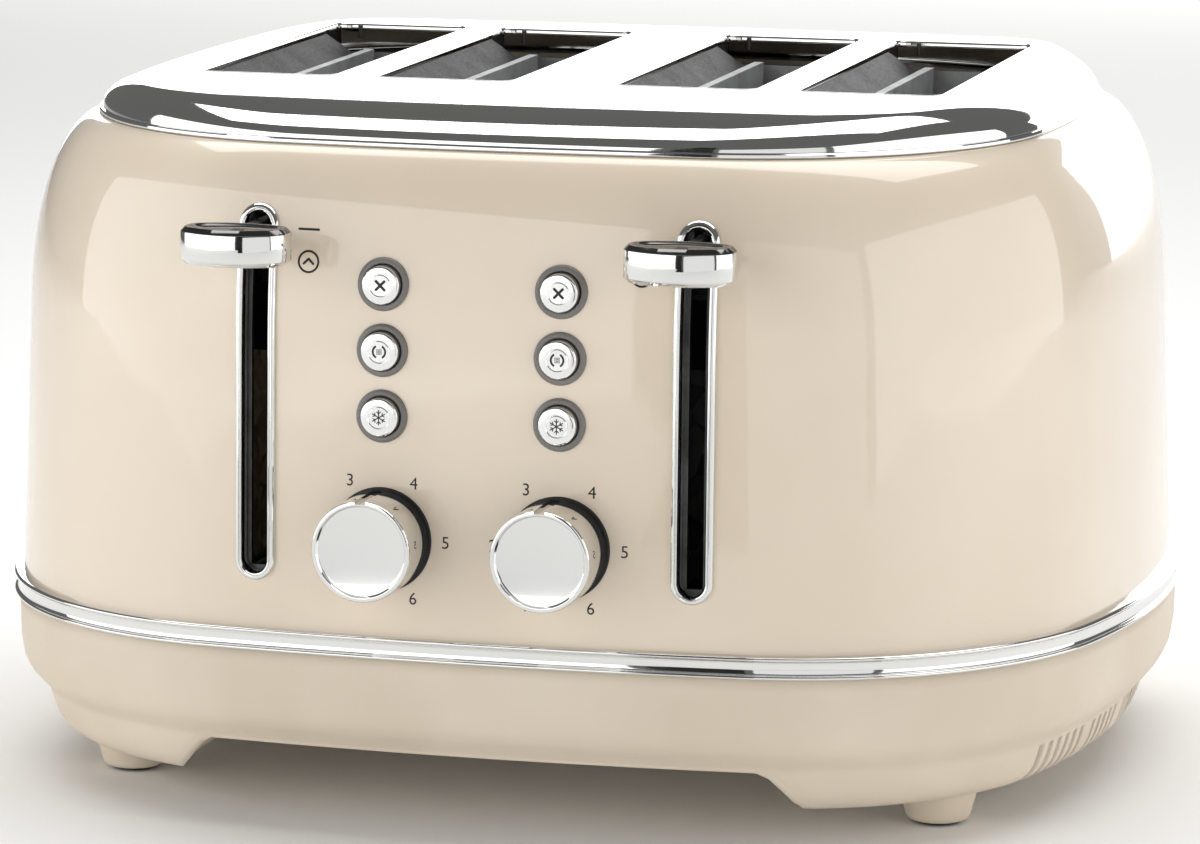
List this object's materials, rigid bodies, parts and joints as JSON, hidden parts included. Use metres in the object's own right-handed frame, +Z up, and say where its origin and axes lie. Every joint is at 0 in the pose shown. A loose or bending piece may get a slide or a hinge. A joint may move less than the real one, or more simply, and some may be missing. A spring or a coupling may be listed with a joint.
{
  "type": "pop-up toaster",
  "caption": "Bread toaster with a rounded casing, long slots in a domed lid, front push levers, press buttons, browning dials and rear crumb trays.",
  "frame": {"origin": "middle of the whole footprint on the surface that the toaster stands on", "axes": "+X to the right seen from the front, +Y to the back, +Z up"},
  "size_m": [0.3294, 0.3098, 0.195],
  "materials": {
    "base": "cream moulded plastic, satin",
    "shell": "cream gloss enamel paint",
    "belt": "polished chrome plate",
    "lid": "polished chrome plate",
    "slot_frame": "polished chrome plate",
    "lever_knob": "polished chrome plate",
    "dial": "polished chrome plate",
    "dial_ring": "black gloss plastic",
    "bezel": "dark chrome",
    "button": "satin chrome",
    "pad": "black rubber",
    "gland": "black rubber",
    "black_part": "black moulded plastic",
    "board": "glass-fibre circuit board",
    "galvanised": "galvanised sheet",
    "steel": "zinc-plated steel",
    "rack_steel": "plated steel",
    "guard_wire": "plated steel wire",
    "rod": "ground steel",
    "spring": "spring steel",
    "mica": "mica board with heating ribbon",
    "magnet": "wound coil on a steel yoke",
    "tray": "satin aluminised steel"
  },
  "bodies": {
    "toaster_body": {"base_screws": "steel", "base_shell": "base", "belt_trim": "belt", "body_shell": "shell", "bread_guards_left": "guard_wire", "bread_guards_right": "guard_wire", "button_bezels_left": "bezel", "button_bezels_right": "bezel", "chassis_front_plate": "galvanised", "chassis_rear_plate": "galvanised", "control_board_left": "board", "control_board_right": "board", "cord_gland": "gland", "dial_control_left": "black_part", "dial_control_right": "black_part", "dial_ring_left": "dial_ring", "dial_ring_right": "dial_ring", "foot_front_left": "base", "foot_front_right": "base", "foot_pads": "pad", "foot_rear_left": "base", "foot_rear_right": "base", "guide_rod_left": "rod", "guide_rod_right": "rod", "heat_shield_left": "galvanised", "heat_shield_right": "galvanised", "heater_cards_left": "mica", "heater_cards_right": "mica", "holding_magnet_left": "magnet", "holding_magnet_right": "magnet", "lever_slot_frame_left": "slot_frame", "lever_slot_frame_right": "slot_frame", "lever_slot_guide_left": "black_part", "lever_slot_guide_right": "black_part", "lift_spring_left": "spring", "lift_spring_right": "spring", "top_lid": "lid"},
    "lever_left": {"lift_slider_left": "steel", "keeper_plate_left": "steel", "bread_rack_inner_left": "rack_steel", "bread_rack_outer_left": "rack_steel", "lever_knob_left": "lever_knob"},
    "button_cancel_left_body": {"button_cancel_left": "button"},
    "button_reheat_left_body": {"button_reheat_left": "button"},
    "button_defrost_left_body": {"button_defrost_left": "button"},
    "dial_left": {"browning_dial_left": "dial", "dial_shaft_left": "steel"},
    "tray_left": {"crumb_tray_left": "tray"},
    "lever_right": {"lift_slider_right": "steel", "keeper_plate_right": "steel", "bread_rack_inner_right": "rack_steel", "bread_rack_outer_right": "rack_steel", "lever_knob_right": "lever_knob"},
    "button_cancel_right_body": {"button_cancel_right": "button"},
    "button_reheat_right_body": {"button_reheat_right": "button"},
    "button_defrost_right_body": {"button_defrost_right": "button"},
    "dial_right": {"browning_dial_right": "dial", "dial_shaft_right": "steel"},
    "tray_right": {"crumb_tray_right": "tray"}
  },
  "joints": [
    {"name": "lever_left_slide", "type": "slide", "parent": "toaster_body", "child": "lever_left", "axis": [0, 0, -1], "range_m": [0, 0.084], "stiffness_N_per_m": 60, "springref_m": -0.15, "deforming": ["lift_spring_left"]},
    {"name": "button_cancel_left_press", "type": "slide", "parent": "toaster_body", "child": "button_cancel_left_body", "axis": [0, 1, 0], "range_m": [0, 0.002], "stiffness_N_per_m": 400, "springref_m": -0.002},
    {"name": "button_reheat_left_press", "type": "slide", "parent": "toaster_body", "child": "button_reheat_left_body", "axis": [0, 1, 0], "range_m": [0, 0.002], "stiffness_N_per_m": 400, "springref_m": -0.002},
    {"name": "button_defrost_left_press", "type": "slide", "parent": "toaster_body", "child": "button_defrost_left_body", "axis": [0, 1, 0], "range_m": [0, 0.002], "stiffness_N_per_m": 400, "springref_m": -0.002},
    {"name": "dial_left_turn", "type": "hinge", "parent": "toaster_body", "child": "dial_left", "pos_m": [-0.0246, -0.1521, 0.0813], "axis": [0, -1, 0], "range_deg": [-150, 150]},
    {"name": "tray_left_slide", "type": "slide", "parent": "toaster_body", "child": "tray_left", "axis": [0, 1, 0], "range_m": [0, 0.18]},
    {"name": "lever_right_slide", "type": "slide", "parent": "toaster_body", "child": "lever_right", "axis": [0, 0, -1], "range_m": [0, 0.084], "stiffness_N_per_m": 60, "springref_m": -0.15, "deforming": ["lift_spring_right"]},
    {"name": "button_cancel_right_press", "type": "slide", "parent": "toaster_body", "child": "button_cancel_right_body", "axis": [0, 1, 0], "range_m": [0, 0.002], "stiffness_N_per_m": 400, "springref_m": -0.002},
    {"name": "button_reheat_right_press", "type": "slide", "parent": "toaster_body", "child": "button_reheat_right_body", "axis": [0, 1, 0], "range_m": [0, 0.002], "stiffness_N_per_m": 400, "springref_m": -0.002},
    {"name": "button_defrost_right_press", "type": "slide", "parent": "toaster_body", "child": "button_defrost_right_body", "axis": [0, 1, 0], "range_m": [0, 0.002], "stiffness_N_per_m": 400, "springref_m": -0.002},
    {"name": "dial_right_turn", "type": "hinge", "parent": "toaster_body", "child": "dial_right", "pos_m": [0.0246, -0.1521, 0.0813], "axis": [0, -1, 0], "range_deg": [-150, 150]},
    {"name": "tray_right_slide", "type": "slide", "parent": "toaster_body", "child": "tray_right", "axis": [0, 1, 0], "range_m": [0, 0.18]}
  ]
}
